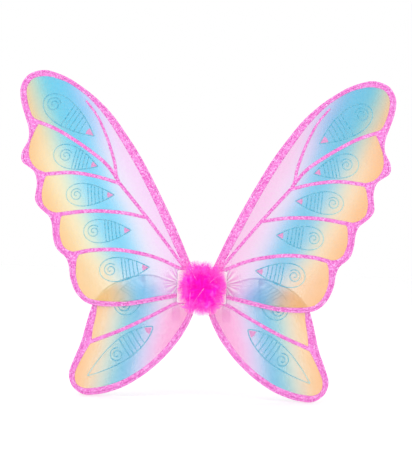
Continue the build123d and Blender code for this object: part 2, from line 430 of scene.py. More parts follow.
def organza(name, wing, side):
    """Sheer woven cloth dyed in soft bands from pink through blue to peach."""
    look = Finish(name, Roughness=0.55, IOR=1.4)
    look.surface.inputs["Sheen Weight"].default_value = 0.15
    look.surface.inputs["Specular IOR Level"].default_value = 0.3
    warmth = PALE_SIDE if side < 0 and wing == "upper" else (1, 1, 1)
    band = band_place(look, wing)
    place = look.place()
    across, up, _ = look.axes(place)
    if wing == "upper":
        main = UPPER_DYE
        stretches = [(FOOT_DYE, 1 - up.within(*FOOT_DROP)), (TIP_DYE, up.within(*TIP_RISE))]
    else:
        main = LOWER_DYE
        stretches = [(COVERED_DYE, up.within(*COVERED_RISE))]
    own, veil = dyed(look, band, main, warmth)
    for dyes, near in stretches:
        other_own, other_veil = dyed(look, band, dyes, warmth)
        own = look.mix(near, own, other_own)
        veil = look.mix(near, veil, other_veil)
    gathered = 0.0
    fade = 1.0
    if wing == "upper":
        crest, gathered = root_pleats(look, across, up)
        # Painted shade in the troughs of the root pleats and painted highlights along their crests
        own = look.mix(gathered * (1 - crest) * 0.3, own, PAINTED_PLEAT_SHADE)
        own = look.mix(gathered * crest * 0.8, own, (1, 1, 1))
    else:
        fade = 1 - up.within(*DYE_FADE) * 0.7
    warp = (across * (math.tau / THREAD_PITCH)).wave()
    weft = (up * (math.tau / THREAD_PITCH)).wave()
    weave = (warp + weft) * 0.5
    slub = look.noise(place, 6 * MM, 3.0)
    look.paint(look.mix((weave * 0.10 + slub * 0.06), own, (1, 1, 1)))
    veil = look.axes(veil)[0] * fade + gathered * 0.25
    look.feed("Alpha", veil + (weave - 0.5) * 0.10 + (slub - 0.5) * 0.06)
    look.emboss(weave + slub * 0.6, WEAVE_DEPTH, 0.5)
    return look.material


THREAD_PITCH = 0.9 * MM
WEAVE_DEPTH = 0.08 * MM
# The heights between which a lower wing's dye fades towards its covered top edge
DYE_FADE = (-16 * MM, 12 * MM)
# Painted shade colour for the troughs of an upper wing's root pleats
PAINTED_PLEAT_SHADE = srgb(244, 150, 212)
# The point that a wing's root pleats run out from, where they start and end beyond it, and how close they are
GATHER = (33 * MM, 5 * MM)
GATHER_REACH = (5 * MM, 34 * MM)
PLEATS = 20.0


def root_pleats(look, across, up):
    """The crests of the root pleats, and how tightly the cloth is gathered there."""
    out = across - GATHER[0]
    rise = up - GATHER[1]
    angle = look.maths("ARCTAN2", rise, out)
    far = look.maths("SQRT", out * out + rise * rise)
    crest = (angle * PLEATS + look.maths("SINE", angle * 5.0) * 2).wave() ** 1.6
    return crest, 1 - far.within(0.35 * GATHER_REACH[1], GATHER_REACH[1])


def printed_line(name, wing):
    """Turquoise print that pales on the warm end of the cloth."""
    tint = colours()
    look = Finish(name, Roughness=0.45, IOR=1.45)
    band = band_place(look, wing)
    fleck = look.grains(look.place(), PRINT_FLECK)
    stops = [(0.62, tint.print_line[:]), (0.76, tint.print_pale[:])]
    look.paint(look.mix(fleck * 0.32, look.ramp(band, stops), PRINT_GLINT))
    thin_print(look, wing)
    look.emboss(fleck, PRINT_DEPTH, 0.5)
    return look.material


def thin_print(look, wing):
    """Thins the print on the part of a lower wing that an upper wing covers."""
    if wing == "lower":
        _, up, _ = look.axes(look.place())
        look.feed("Alpha", 1 - up.within(*PRINT_THINS) * 0.75)


PRINT_THINS = (-34 * MM, -26 * MM)
PRINT_FLECK = 1.2 * MM
PRINT_GLINT = (0.75, 0.95, 0.98)
PRINT_DEPTH = 0.1 * MM


def printed_tip(name, wing):
    """Small pink printed points."""
    tint = colours()
    look = Finish(name, Roughness=0.45, IOR=1.45)
    fleck = look.grains(look.place(), TIP_FLECK)
    # Flecks of the light-flake colour are painted glints on the pink print
    look.paint(look.mix(fleck * 0.5, tint.print_tip[:], tint.glitter_light[:]))
    thin_print(look, wing)
    look.emboss(fleck, PRINT_DEPTH, 0.5)
    return look.material


TIP_FLECK = 1.1 * MM


def marabou(name, first, second):
    """Down that pales towards its outer ends."""
    look = Finish(name, Roughness=0.85)
    look.surface.inputs["Specular IOR Level"].default_value = 0.15
    look.surface.inputs["Emission Strength"].default_value = DOWN_GLOW
    spot = look.spot()
    x, _, z = look.axes(spot)
    low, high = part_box("feather_puff")
    half = (high.x - low.x) / 2
    middle = (high.z + low.z) / 2
    rise = z - middle
    out = look.maths("SQRT", x * x + rise * rise) / half
    clump = look.noise(spot, CLUMP_SIZE, 2.0)
    edge = (out + clump * 1.5 - 0.75).within(0.4, 1.0)
    colour = look.mix(edge, first, second)
    look.feed("Base Color", colour)
    look.feed("Emission Color", colour)
    return look.material


# Light that passes through down and reaches the eye from behind
DOWN_GLOW = 0.36
CLUMP_SIZE = 7 * MM


def cloth(name, tint, pitch, shine=0.5, sheen=0.2):
    """Plain woven cloth."""
    look = Finish(name, IOR=1.45, Emission_Strength=CLOTH_GLOW)
    look.surface.inputs["Sheen Weight"].default_value = sheen
    x, y, z = look.axes(look.spot())
    warp = ((x + y * 0.5) * (math.tau / pitch)).wave()
    weft = ((z + y * 0.5) * (math.tau / pitch)).wave()
    weave = warp * weft
    wear = look.noise(look.spot(), 9 * MM, 4.0)
    shade = [part * 0.86 for part in tint]
    shown = look.mix(weave * 0.4 + wear * 0.35, shade, tint[:])
    look.paint(shown)
    look.feed("Emission Color", shown)
    look.feed("Roughness", 0.75 - shine * 0.4 * weave)
    look.emboss(weave + wear * 0.5, 0.12 * MM, 0.5)
    return look.material


# Light that passes through white cloth
CLOTH_GLOW = 0.08
# Painted glow that lifts the elastic out of the shade it lies in behind the wings
ELASTIC_GLOW = 0.22
# The elastic's ribs and its cross threads
RIB_PITCH = 1.3 * MM
CROSS_PITCH = 0.8 * MM


def elastic(name, tint):
    """Ribbed woven elastic: ribs along its length and fine cross threads, with painted shade in the rib
    valleys and along its edges, and a painted glow.
    """
    look = Finish(name, Roughness=0.65, IOR=1.45, Emission_Strength=ELASTIC_GLOW)
    look.surface.inputs["Sheen Weight"].default_value = 0.2
    along, across, _ = look.axes(look.place())
    ribs = (across * (math.tau / RIB_PITCH)).wave()
    threads = (along * (math.tau / CROSS_PITCH)).wave()
    wear = look.noise(look.place(), 8 * MM, 3.0)
    selvedge_shade = look.maths("ABSOLUTE", across).within(0.78, 0.9, sizes().strap_width / 2)
    # Painted shade: the rib valleys and the edges of the elastic are darkened
    shade = [part * 0.78 for part in tint]
    shown = look.mix(ribs * 0.55 + threads * 0.2 + wear * 0.25 - selvedge_shade * 0.5, shade, tint[:])
    look.feed("Base Color", shown)
    look.feed("Emission Color", shown)
    look.emboss(ribs + threads * 0.35, 0.2 * MM, 0.7)
    return look.material


def felt(name, tint):
    """Pressed fibres."""
    look = Finish(name, Roughness=0.95)
    fibres = look.noise(look.spot(), 0.9 * MM, 5.0, 0.7)
    shade = [part * 0.7 for part in tint]
    look.paint(look.mix(fibres, shade, tint[:]))
    look.emboss(fibres, 0.3 * MM, 0.7)
    return look.material


def coated_wire(name, tint):
    """Smooth plastic over steel."""
    look = Finish(name, Roughness=0.35, IOR=1.5)
    scuff = look.noise(look.spot(), 5 * MM, 3.0)
    shade = [part * 0.9 for part in tint]
    look.paint(look.mix(scuff, shade, tint[:]))
    look.feed("Roughness", 0.3 + scuff * 0.2)
    look.emboss(scuff, 0.05 * MM, 0.3)
    return look.material


def steel(name, tint):
    """Drawn steel with fine lengthwise marks."""
    look = Finish(name, Metallic=1.0)
    _, _, z = look.axes(look.spot())
    marks = look.noise(look.spot(), 0.5 * MM, 3.0)
    dents = (z * (math.tau / DENT_PITCH)).wave()
    shade = [part * 0.75 for part in tint]
    look.paint(look.mix(marks, shade, tint[:]))
    look.feed("Roughness", 0.25 + marks * 0.25)
    look.emboss(marks * 0.5 + dents, 0.1 * MM, 0.5)
    return look.material


DENT_PITCH = 3 * MM

# Meshes


def piece(name, points, faces, material, rest=None, smooth=True, slot=None):
    """A mesh object, with its rest positions stored for the finish to follow."""
    mesh = bpy.data.meshes.new(name)
    mesh.from_pydata([tuple(p) for p in np.asarray(points, float)], [], [tuple(map(int, f)) for f in faces])
    mesh.validate()
    mesh.update()
    if rest is not None:
        layer = mesh.uv_layers.new(name=REST_MAP)
        index = np.empty(len(mesh.loops), int)
        mesh.loops.foreach_get("vertex_index", index)
        layer.data.foreach_set("uv", np.asarray(rest, np.float32)[index].ravel())
    mesh.polygons.foreach_set("use_smooth", [smooth] * len(mesh.polygons))
    mesh.materials.append(material)
    thing = bpy.data.objects.new(name, mesh)
    bpy.context.collection.objects.link(thing)
    return thing


def front_edges(node):
    """The outline edges of a flat frame part's front, as pairs of (x, z) in metres."""
    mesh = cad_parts[node].data
    points = np.array([vertex.co[:] for vertex in mesh.vertices])
    front = points[:, 1].min()
    uses = {}
    for face in mesh.polygons:
        ring = list(face.vertices)
        if max(abs(points[i][1] - front) for i in ring) > FLAT:
            continue
        corners = [(round(points[i][0], 6), round(points[i][2], 6)) for i in ring]
        for pair in zip(corners, corners[1:] + corners[:1]):
            key = tuple(sorted(pair))
            uses[key] = uses.get(key, 0) + 1
    return [pair for pair, count in uses.items() if count == 1]


FLAT = 1e-5


def joined_edges(kind):
    """The outline of a right-hand wing layer, carried across the gap at its crease."""
    outer = front_edges(kind)
    inner = front_edges(kind + "_root")
    outer_cut = min(x for pair in outer for x, _ in pair)
    inner_cut = max(x for pair in inner for x, _ in pair)
    ends = []
    kept = []
    for edges, cut in ((outer, outer_cut), (inner, inner_cut)):
        cuts = [pair for pair in edges if all(abs(x - cut) < FLAT for x, _ in pair)]
        kept += [pair for pair in edges if pair not in cuts]
        tied = tied_runs(cuts)
        ends.append(sorted(tied, key=lambda run: run[0][1]))
    for far, near in zip(*ends):
        kept += list(zip(far, near))
    return kept


def tied_runs(edges):
    """The lower and upper end of each run of upright edges that touch."""
    runs = []
    upright = [sorted(pair, key=lambda point: point[1]) for pair in edges]
    for low, high in sorted(upright, key=lambda run: run[0][1]):
        if runs and abs(runs[-1][1][1] - low[1]) < FLAT:
            runs[-1] = (runs[-1][0], high)
        else:
            runs.append((low, high))
    return runs


def neighbours(edges):
    """The points that each point is joined to."""
    beside = {}
    for first, second in edges:
        beside.setdefault(first, []).append(second)
        beside.setdefault(second, []).append(first)
    return beside


def loops_of(edges):
    """Closed loops of points from loose edges."""
    beside = neighbours(edges)
    loops = []
    while beside:
        start = next(iter(beside))
        loop = [start]
        here = start
        while True:
            after = beside[here].pop()
            beside[after].remove(here)
            if not beside[here]:
                del beside[here]
            if after == start:
                break
            loop.append(after)
            here = after
        if not beside.get(start, True):
            del beside[start]
        loops.append(np.array(loop))
    return loops


def divided(loop, longest):
    """A closed loop with its long edges divided."""
    points = []
    for here, after in zip(loop, np.roll(loop, -1, axis=0)):
        count = max(1, math.ceil(np.linalg.norm(after - here) / longest))
        for i in range(count):
            points.append(here + (after - here) * i / count)
    return np.array(points)


def is_inside(points, loops):
    """Which points lie inside an odd number of loops."""
    odd = np.zeros(len(points), bool)
    for loop in loops:
        after = np.roll(loop, -1, axis=0)
        for (x0, z0), (x1, z1) in zip(loop, after):
            if z0 == z1:
                continue
            spans = (z0 > points[:, 1]) != (z1 > points[:, 1])
            crossing = x0 + (points[:, 1] - z0) * (x1 - x0) / (z1 - z0)
            odd ^= spans & (points[:, 0] < crossing)
    return odd


def edge_distance(points, loops):
    """Distance from each point to the nearest loop."""
    nearest = np.full(len(points), 1.0)
    for loop in loops:
        run = np.roll(loop, -1, axis=0) - loop
        square = (run**2).sum(1)
        for start, along, size in zip(loop, run, square):
            if size == 0:
                continue
            share = np.clip(((points - start) @ along) / size, 0, 1)
            gap = points - start - share[:, None] * along
            nearest = np.minimum(nearest, np.hypot(gap[:, 0], gap[:, 1]))
    return nearest


def grid_points(low, high, pitch):
    """Points of a triangular grid between two corners."""
    rows = np.arange(low[1], high[1], pitch * math.sqrt(3) / 2)
    points = []
    for i, height in enumerate(rows):
        xs = np.arange(low[0] + (i % 2) * pitch / 2, high[0], pitch)
        points.append(np.column_stack([xs, np.full(len(xs), height)]))
    return np.vstack(points)


def filled(loops, pitch, fine=None):
    """Points and triangles that fill closed loops, and the divided loops. Fine is a spot of closer points."""
    loops = [divided(loop, pitch) for loop in loops]
    every = np.vstack(loops)
    grid = grid_points(every.min(0), every.max(0), pitch)
    if fine is not None:
        centre, reach, fine_pitch = fine
        closer = grid_points(np.array(centre) - reach, np.array(centre) + reach, fine_pitch)
        closer = closer[np.hypot(*(closer - centre).T) < reach]
        grid = np.vstack([grid[np.hypot(*(grid - centre).T) > reach], closer])
    grid = grid[is_inside(grid, loops)]
    closest = pitch if fine is None else fine[2]
    grid = grid[edge_distance(grid, loops) > closest * EDGE_ROOM]
    edges = []
    start = 0
    for loop in loops:
        count = len(loop)
        edges += [(start + i, start + (i + 1) % count) for i in range(count)]
        start += count
    seeds = [Vector(point) for point in np.vstack([every, grid])]
    points, _, triangles, *_ = delaunay_2d_cdt(seeds, edges, [], 0, 1e-7)
    points = np.array([point[:] for point in points])
    triangles = np.array(triangles)
    centres = points[triangles].mean(1)
    return points, triangles[is_inside(centres, loops)], loops


# The least room between an inner point and the edge, as a share of the spacing
EDGE_ROOM = 0.4


def slab_mesh(points, triangles, front, back):
    """A closed sheet between two surfaces given by their y at each point."""
    used = np.unique(triangles)
    renumber = np.full(len(points), -1)
    renumber[used] = np.arange(len(used))
    triangles = renumber[triangles]
    flat = points[used]
    count = len(used)
    near = np.column_stack([flat[:, 0], front[used], flat[:, 1]])
    far = np.column_stack([flat[:, 0], back[used], flat[:, 1]])
    first = flat[triangles[:, 0]]
    second = flat[triangles[:, 1]]
    third = flat[triangles[:, 2]]
    turn = (second - first)[:, 0] * (third - first)[:, 1] - (second - first)[:, 1] * (third - first)[:, 0]
    triangles[turn < 0] = triangles[turn < 0][:, ::-1]
    faces = [tuple(t) for t in triangles] + [tuple(t[::-1] + count) for t in triangles]
    seen = set()
    for a, b, c in triangles:
        seen |= {(a, b), (b, c), (c, a)}
    for a, b in seen:
        if (b, a) not in seen:
            faces.append((b, a, a + count, b + count))
    return np.vstack([near, far]), faces, np.vstack([flat, flat])


def on_side(points, faces, side):
    """Right-hand points and faces, mirrored for the left."""
    if side > 0:
        return points, faces
    return points * np.array([-1, 1, 1]), [tuple(face)[::-1] for face in faces]


def smooth_step(share):
    """A smooth rise from 0 to 1."""
    share = np.clip(share, 0, 1)
    return share * share * (3 - 2 * share)


class Wing:
    """The right-hand shape of one pair of wings, read from the frame."""

    def __init__(self, name):
        self.name = name
        node = f"{name}_right_"
        low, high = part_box(node + "skin")
        self.level = (low.y + high.y) / 2
        self.cloth_loops = loops_of(joined_edges(node + "skin"))
        self.glitter_loops = loops_of(joined_edges(node + "trim"))
        self.rim = self.rim_path(joined_edges(node + "hem"))
        hem_low, hem_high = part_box(node + "hem")
        self.rim_half = (hem_high.y - hem_low.y) / 2
        self.rim_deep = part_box(node + "hem")[1].x - high.x
        trim_low, trim_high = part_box(node + "trim")
        self.glitter_thick = trim_high.y - trim_low.y

    @staticmethod
    def rim_path(edges):
        """The wing's outer edge as an open run, from the top of its root round to the bottom."""
        root = min(x for pair in edges for x, _ in pair)
        beside = neighbours([pair for pair in edges if not all(abs(x - root) < FLAT for x, _ in pair)])
        ends = [point for point, near in beside.items() if len(near) == 1]
        run = [max(ends, key=lambda point: point[1])]
        before = None
        while True:
            onward = [point for point in beside[run[-1]] if point != before]
            if not onward:
                break
            before = run[-1]
            run.append(onward[0])
        return np.array(run)

    def lie(self, points):
        """How far the cloth stands forward of the wire's plane at each point."""
        away = edge_distance(points, self.cloth_loops)
        x, z = points[:, 0] / MM, points[:, 1] / MM
        swell = np.sin(x / 23 + z / 41 + 0.6) * np.cos(z / 19 - x / 57) + 0.4 * np.sin(x / 9.5 - z / 12.5)
        billow = sizes().billow * swell * smooth_step(away / SWELL_REACH)
        billow += RIM_CLIMB * (1 - smooth_step(away / CLIMB_REACH))
        if self.name == "lower":
            return billow * LOWER_SHARE
        out = points - np.array(GATHER)
        far = np.hypot(out[:, 0], out[:, 1])
        angle = np.arctan2(out[:, 1], out[:, 0])
        crest = np.sin(angle * PLEATS + np.sin(angle * 5) * 2)
        fade = smooth_step(far / GATHER_REACH[0]) * (1 - smooth_step(far / GATHER_REACH[1]))
        hold = smooth_step(away / HEM_HOLD)
        return billow + sizes().pleat_depth * crest * fade * hold


# How far the cloth climbs the front of the wire at its edge, and over what width
RIM_CLIMB = 1.15 * MM
CLIMB_REACH = 5 * MM
# How far in from its edge the cloth swells fully, and how near the hem holds it flat
SWELL_REACH = 22 * MM
HEM_HOLD = 3 * MM
# A lower wing is drawn tighter
LOWER_SHARE = 0.8
wings = {}


def wing_shape(name):
    """The shape of one pair of wings, read once."""
    if name not in wings:
        wings[name] = Wing(name)
    return wings[name]


def hang(thing, wing, side_name, side, *nodes):
    """Bakes a piece's placing into its mesh and hides the frame parts that it stands in for."""
    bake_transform(thing)
    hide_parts(*nodes)


def make_cloth(wing, side_name, side):
    """The sheer panel of one wing."""
    shape = wing_shape(wing)
    if not hasattr(shape, "cloth"):
        fine = (np.array(GATHER), GATHER_REACH[1], PLEAT_PITCH) if wing == "upper" else None
        points, triangles, _ = filled(shape.cloth_loops, sizes().cloth_pitch, fine)
        shape.cloth = points, triangles, shape.lie(points)
    points, triangles, lie = shape.cloth
    half = sizes().cloth_thick / 2
    middle = shape.level - lie
    mesh, faces, rest = slab_mesh(points, triangles, middle - half, middle + half)
    mesh, faces = on_side(mesh, faces, side)
    name = f"{wing}_{side_name}"
    look = finish(f"organza_{name}", organza, wing, side)
    thing = piece(f"{name}_organza", mesh, faces, look, rest, slot="printed_mesh")
    hang(thing, wing, side_name, side, f"{name}_skin", f"{name}_skin_root")
    flat = tuple(points.max(0) - points.min(0) + CUT_MARGIN)
    area = float(triangle_area(points, triangles))


# Spacing of the cloth's points where it is pleated
PLEAT_PITCH = 1.3 * MM
CUT_MARGIN = 1 * MM


def triangle_area(points, triangles):
    """The area of flat triangles."""
    a, b, c = (points[triangles[:, i]] for i in range(3))
    turn = (b - a)[:, 0] * (c - a)[:, 1] - (b - a)[:, 1] * (c - a)[:, 0]
    return np.abs(turn).sum() / 2


def make_glitter(wing, side_name, side):
    """The glittered border and veins on one wing's front."""
    shape = wing_shape(wing)
    if not hasattr(shape, "glitter"):
        points, triangles, loops = filled(shape.glitter_loops, GLITTER_PITCH)
        crown = smooth_step(edge_distance(points, loops) / GLITTER_SHOULDER)
        shape.glitter = points, triangles, shape.lie(points), crown
    points, triangles, lie, crown = shape.glitter
    half = sizes().cloth_thick / 2
    middle = shape.level - lie
    front = middle - half - shape.glitter_thick * (GLITTER_EDGE + (1 - GLITTER_EDGE) * crown)
    mesh, faces, rest = slab_mesh(points, triangles, front, middle + half + GLITTER_SOAK * crown)
    mesh, faces = on_side(mesh, faces, side)
    name = f"{wing}_{side_name}"
    thing = piece(f"{name}_glitter", mesh, faces, finish("glitter", glitter), rest, slot="glitter_pink")
    hang(thing, wing, side_name, side, f"{name}_trim", f"{name}_trim_root")


# How far the glitter's binder comes through the back of the cloth
GLITTER_SOAK = 0.08 * MM
# A border is thin at its edge, and full from its shoulder on
GLITTER_EDGE = 0.45
GLITTER_SHOULDER = 1.2 * MM
GLITTER_PITCH = 2.6 * MM


def evenly(path, step):
    """An open run of points with one every step."""
    gaps = np.linalg.norm(np.diff(path, axis=0), axis=1)
    along = np.concatenate([[0], np.cumsum(gaps)])
    count = max(2, round(along[-1] / step))
    wanted = np.linspace(0, along[-1], count + 1)
    return np.column_stack([np.interp(wanted, along, path[:, i]) for i in range(path.shape[1])]), wanted


def make_rim(wing, side_name, side):
    """The edge of the cloth rolled round the wire."""
    shape = wing_shape(wing)
    first, last = unit(shape.rim[0] - shape.rim[1]), unit(shape.rim[-1] - shape.rim[-2])
    whole = np.vstack([shape.rim[0] + first * RIM_TAIL, shape.rim, shape.rim[-1] + last * RIM_TAIL])
    path, along = evenly(whole, RIM_PITCH)
    ahead = unit(np.gradient(path, axis=0))
    inward = np.column_stack([ahead[:, 1], -ahead[:, 0]])
    half_deep = shape.rim_deep / 2
    centre = path + inward * half_deep
    pucker = 1 + RIM_PUCKER * np.sin(along / (2.3 * MM)) * np.sin(along / (7.1 * MM))
    ring = []
    rest = []
    for i in range(RIM_SIDES):
        angle = math.tau * i / RIM_SIDES
        high = squared(math.sin(angle)) * shape.rim_half
        flat = centre + inward * squared(math.cos(angle)) * half_deep
        ring.append(np.column_stack([flat[:, 0], shape.level - high * pucker, flat[:, 1]]))
        rest.append(np.column_stack([along, np.full(len(along), i / RIM_SIDES * RIM_GIRTH)]))
    points = np.stack(ring, 1).reshape(-1, 3)
    rest = np.stack(rest, 1).reshape(-1, 2)
    faces = tube_faces(len(path), RIM_SIDES)
    points, faces = on_side(points, faces, side)
    name = f"{wing}_{side_name}"
    look = finish("glitter", glitter)
    if wing == "lower":
        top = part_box("lower_right_trim")[1].z
        bare = along[np.argmax((path[:, 0] > path[:, 0].max() * 0.6) & (path[:, 1] < top))]
        look = finish("rim_glitter", glitter, float(bare))
    thing = piece(f"{name}_rim", points, faces, look, rest, slot="glitter_pink")
    hang(thing, wing, side_name, side, f"{name}_hem", f"{name}_hem_root")
    return thing


# How far the rolled edge runs on under the puff and patch
RIM_TAIL = 8 * MM
# Its spacing, its girth, the count of its sides, how square it is and how much it puckers
RIM_PITCH = 2.0 * MM
RIM_GIRTH = 10 * MM
RIM_SIDES = 16
RIM_SQUARE = 0.5
RIM_PUCKER = 0.035


def squared(turn):
    """A cosine or sine drawn out, so that a circle becomes a rounded square."""
    return math.copysign(abs(turn) ** RIM_SQUARE, turn)


def tube_faces(rings, sides, closed=False):
    """Faces of a tube whose rings follow each other, with its ends capped unless it is closed."""
    faces = []
    for i in range(rings if closed else rings - 1):
        after = (i + 1) % rings
        for j in range(sides):
            k = (j + 1) % sides
            faces.append((i * sides + j, i * sides + k, after * sides + k, after * sides + j))
    if not closed:
        faces.append(tuple(range(sides))[::-1])
        faces.append(tuple((rings - 1) * sides + j for j in range(sides)))
    return faces


# Each printed drop: its pink tip, the middle of its spiral, and its length and width, all in mm
UPPER_DROPS = [
    ((169, 220.5), (231, 266), 93, 40),
    ((162, 175.5), (210.5, 190), 69, 35),
    ((136, 133.5), (192.5, 132), 72, 34),
    ((109, 81.5), (165, 78), 71, 35),
    ((79.5, 27), (138, 21), 75, 36),
]
LOWER_DROPS = [((86, 14), (115, -31), 68, 38)]
# The pointed leaf on the lower wing: its inner and outer points, its width and its spiral
LOWER_LEAF = ((71.5, -62), (167, -139), 32, (124, -106), 10.5)
# A spiral's turns, the angle it starts at, how far it closes up and the count of its points
SPIRAL_TURNS = 1.7
SPIRAL_START = 2.4
SPIRAL_CLOSE = 0.86
SPIRAL_POINTS = 60
# Where the cross stripes lie and how far their middles sag, as shares of the length
STRIPES = (0.24, 0.32, 0.40, 0.47, 0.54)
STRIPE_SAG = 0.004
# The pink point's width beside the outline's
POINT_WIDE = 0.8


def drop_half(share, width):
    """Half the width of a printed drop at a share of its length."""
    turn = math.acos(1 - 2 * share)
    return width / 2 / 0.77 * math.sin(turn) * math.sin(turn / 2)


def leaf_half(share, width):
    """Half the width of the printed leaf at a share of its length."""
    return width / 2 * math.sin(math.pi * share**0.8) ** 0.9


def heading(angle):
    """The direction of an angle in the plane of the wings."""
    return np.array([math.cos(angle), math.sin(angle)])


def motif_lines(tip, far, width, half, centre, spiral, slant, point_end, spread, steps=44):
    """The lines and the pink point of one printed shape, in mm."""
    tip = np.array(tip, float)
    axis = np.array(far, float) - tip
    length = np.linalg.norm(axis)
    axis /= length
    aside = np.array([-axis[1], axis[0]])

    def at(share, across):
        """The point at a share of the length and a distance across."""
        return tip + axis * share * length + aside * across

    shares = [(1 - math.cos(math.pi * i / steps)) / 2 for i in range(steps + 1)]
    upper_side = [at(share, half(share, width)) for share in shares]
    lower_side = [at(share, -half(share, width)) for share in shares]
    lines = [np.array(upper_side), np.array(lower_side)]
    for stripe in STRIPES:
        share = stripe * spread
        reach = half(share, width)
        stripe_ends = at(share + slant, reach), at(share - slant, -reach)
        lines.append(np.array([stripe_ends[0], at(share + STRIPE_SAG, 0), stripe_ends[1]]))
    swirl = []
    lean = math.atan2(axis[1], axis[0]) + SPIRAL_START
    for share in np.linspace(0, 1, SPIRAL_POINTS):
        radius = spiral * (1 - SPIRAL_CLOSE * share**1.4)
        swirl.append(np.array(centre) + radius * heading(lean - share * SPIRAL_TURNS * math.tau))
    lines.append(np.array(swirl))
    wide = half(point_end, width) * POINT_WIDE
    point = [at(0.012, 0), at(point_end, wide), at(point_end + 0.012, 0), at(point_end, -wide)]
    return lines, np.array(point)


# How far a shape's cross stripes slant and where its pink point ends, as shares of its length, and how far
# apart its stripes lie beside a drop's
DROP_STYLE = (0.012, 0.135, 1.0)
LEAF_STYLE = (-0.012, 0.09, 0.8)


def wing_motifs(wing):
    """Every printed line and pink point of a right-hand wing, in mm."""
    lines = []
    tips = []
    drops = UPPER_DROPS if wing == "upper" else LOWER_DROPS
    for tip, centre, length, width in drops:
        axis = np.array(centre, float) - tip
        far = np.array(tip) + axis / np.linalg.norm(axis) * length
        drawn, point = motif_lines(tip, far, width, drop_half, centre, width * 0.27, *DROP_STYLE)
        lines += drawn
        tips.append(point)
    if wing == "lower":
        inner, outer, width, centre, radius = LOWER_LEAF
        drawn, point = motif_lines(inner, outer, width, leaf_half, centre, radius, *LEAF_STYLE)
        lines += drawn
        tips.append(point)
    return lines, tips


def make_motifs(wing, side_name, side):
    """The printed drops of one wing."""
    shape = wing_shape(wing)
    if not hasattr(shape, "motifs"):
        lines, tips = wing_motifs(wing)
        shape.motifs = [line_mesh(shape, lines), tip_mesh(shape, tips)]
    name = f"{wing}_{side_name}"
    for (points, faces, rest), (kind, material, make) in zip(shape.motifs, PRINTS):
        look = finish(f"{material}_{wing}", make, wing)
        points, faces = on_side(points, faces, side)
        thing = piece(f"{name}_print_{kind}", points, faces, look, rest, smooth=False, slot="printed_mesh")
        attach(thing, f"{name}_wing")


PRINTS = (("lines", "printed_line", printed_line), ("tips", "printed_tip", printed_tip))


def line_mesh(shape, lines):
    """Thin raised ribbons along printed lines."""
    random = np.random.default_rng(7)
    points, faces, rest = [], [], []
    front = shape.level - sizes().cloth_thick / 2
    for line in lines:
        path, _ = evenly(line * MM, LINE_PITCH)
        ahead = unit(np.gradient(path, axis=0))
        aside = np.column_stack([-ahead[:, 1], ahead[:, 0]])
        half = sizes().line_width / 2 * (0.8 + 0.4 * random.random(len(path)))
        rise = shape.lie(path)
        start = len(points) * 4
        for place, out, wide, lift in zip(path, aside, half, rise):
            corners = []
            for edge, raised in RIBBON:
                high = sizes().line_thick if raised else -LINE_SINK
                flat = place + out * wide * edge
                corners.append((flat[0], front - lift - high, flat[1]))
            points.append(corners)
            rest += [place] * 4
        ribbon = tube_faces(len(path), 4)
        faces += [tuple(start + i for i in face) for face in ribbon]
    return np.array(points).reshape(-1, 3), faces, np.array(rest)


LINE_PITCH = 1.2 * MM
# How deep the print soaks into the cloth
LINE_SINK = 0.03 * MM
# The corners of a printed line, from side to side, and whether each is raised
RIBBON = ((-1, False), (1, False), (0.7, True), (-0.7, True))


def tip_mesh(shape, tips):
    """Thin raised pink points."""
    points, faces, rest = [], [], []
    for tip in tips:
        flat, triangles, _ = filled([tip * MM], TIP_PITCH)
        back = shape.level - sizes().cloth_thick / 2 - shape.lie(flat)
        mesh, made, still = slab_mesh(flat, triangles, back - TIP_THICK, back + TIP_SINK)
        start = sum(len(part) for part in points)
        faces += [tuple(start + i for i in face) for face in made]
        points.append(mesh)
        rest.append(still)
    return np.vstack(points), faces, np.vstack(rest)


TIP_PITCH = 1.6 * MM
TIP_THICK = 0.15 * MM
TIP_SINK = 0.02 * MM
CORNERS = ((1, 1), (-1, 1), (-1, -1), (1, -1))


def rounded_outline(half_x, half_z, corner, count, pull=0.0):
    """Points round a rectangle with round corners, its sides pulled in a little."""
    points = []
    each = count // 8
    centres = [np.array([x * (half_x - corner), z * (half_z - corner)]) for x, z in CORNERS]
    for turn, centre in enumerate(centres):
        for i in range(each):
            points.append(centre + corner * heading(math.pi / 2 * (turn + i / (each - 1))))
        outward = heading(math.pi / 2 * (turn + 1))
        start = points[-1]
        end = centres[(turn + 1) % 4] + corner * outward
        for i in range(1, each):
            share = i / each
            points.append(start + (end - start) * share - outward * pull * math.sin(math.pi * share))
    return np.array(points)


def cushion_mesh(outline, back, front, edge_share, crown_power, pucker=0.0, rings=14):
    """A closed padded form: full in the middle and thin at its outline."""
    middle = (back + front) / 2
    half = (back - front) / 2
    count = len(outline)
    shares = [math.sin(math.pi / 2 * (i + 1) / rings) for i in range(rings)]
    points = [(0, middle - half, 0)]
    for face in (-1, 1):
        ring_shares = shares if face < 0 else shares[:-1][::-1]
        for share in ring_shares:
            bulge = edge_share + (1 - edge_share) * (1 - share**crown_power)
            if share == shares[-1]:
                bulge = 0
            for i, (x, z) in enumerate(outline):
                groove = math.exp(-(((share - SEAM_SHARE) / SEAM_WIDE) ** 2))
                dent = pucker * groove * (0.6 + 0.4 * math.sin(i * 1.9))
                points.append((x * share, middle + face * (half * bulge - dent), z * share))
    points.append((0, middle + half, 0))
    faces = []
    ring_total = 2 * rings - 1
    for j in range(count):
        faces.append((0, 1 + j, 1 + (j + 1) % count))
    for i in range(ring_total - 1):
        for j in range(count):
            k = (j + 1) % count
            a = 1 + i * count
            faces.append((a + j, a + count + j, a + count + k, a + k))
    last = len(points) - 1
    a = 1 + (ring_total - 1) * count
    for j in range(count):
        faces.append((last, a + (j + 1) % count, a + j))
    return np.array(points), [face[::-1] for face in faces]


# Where a cushion's seam pulls it in, as a share of its half size, and how wide the groove is
SEAM_SHARE = 0.93
SEAM_WIDE = 0.03


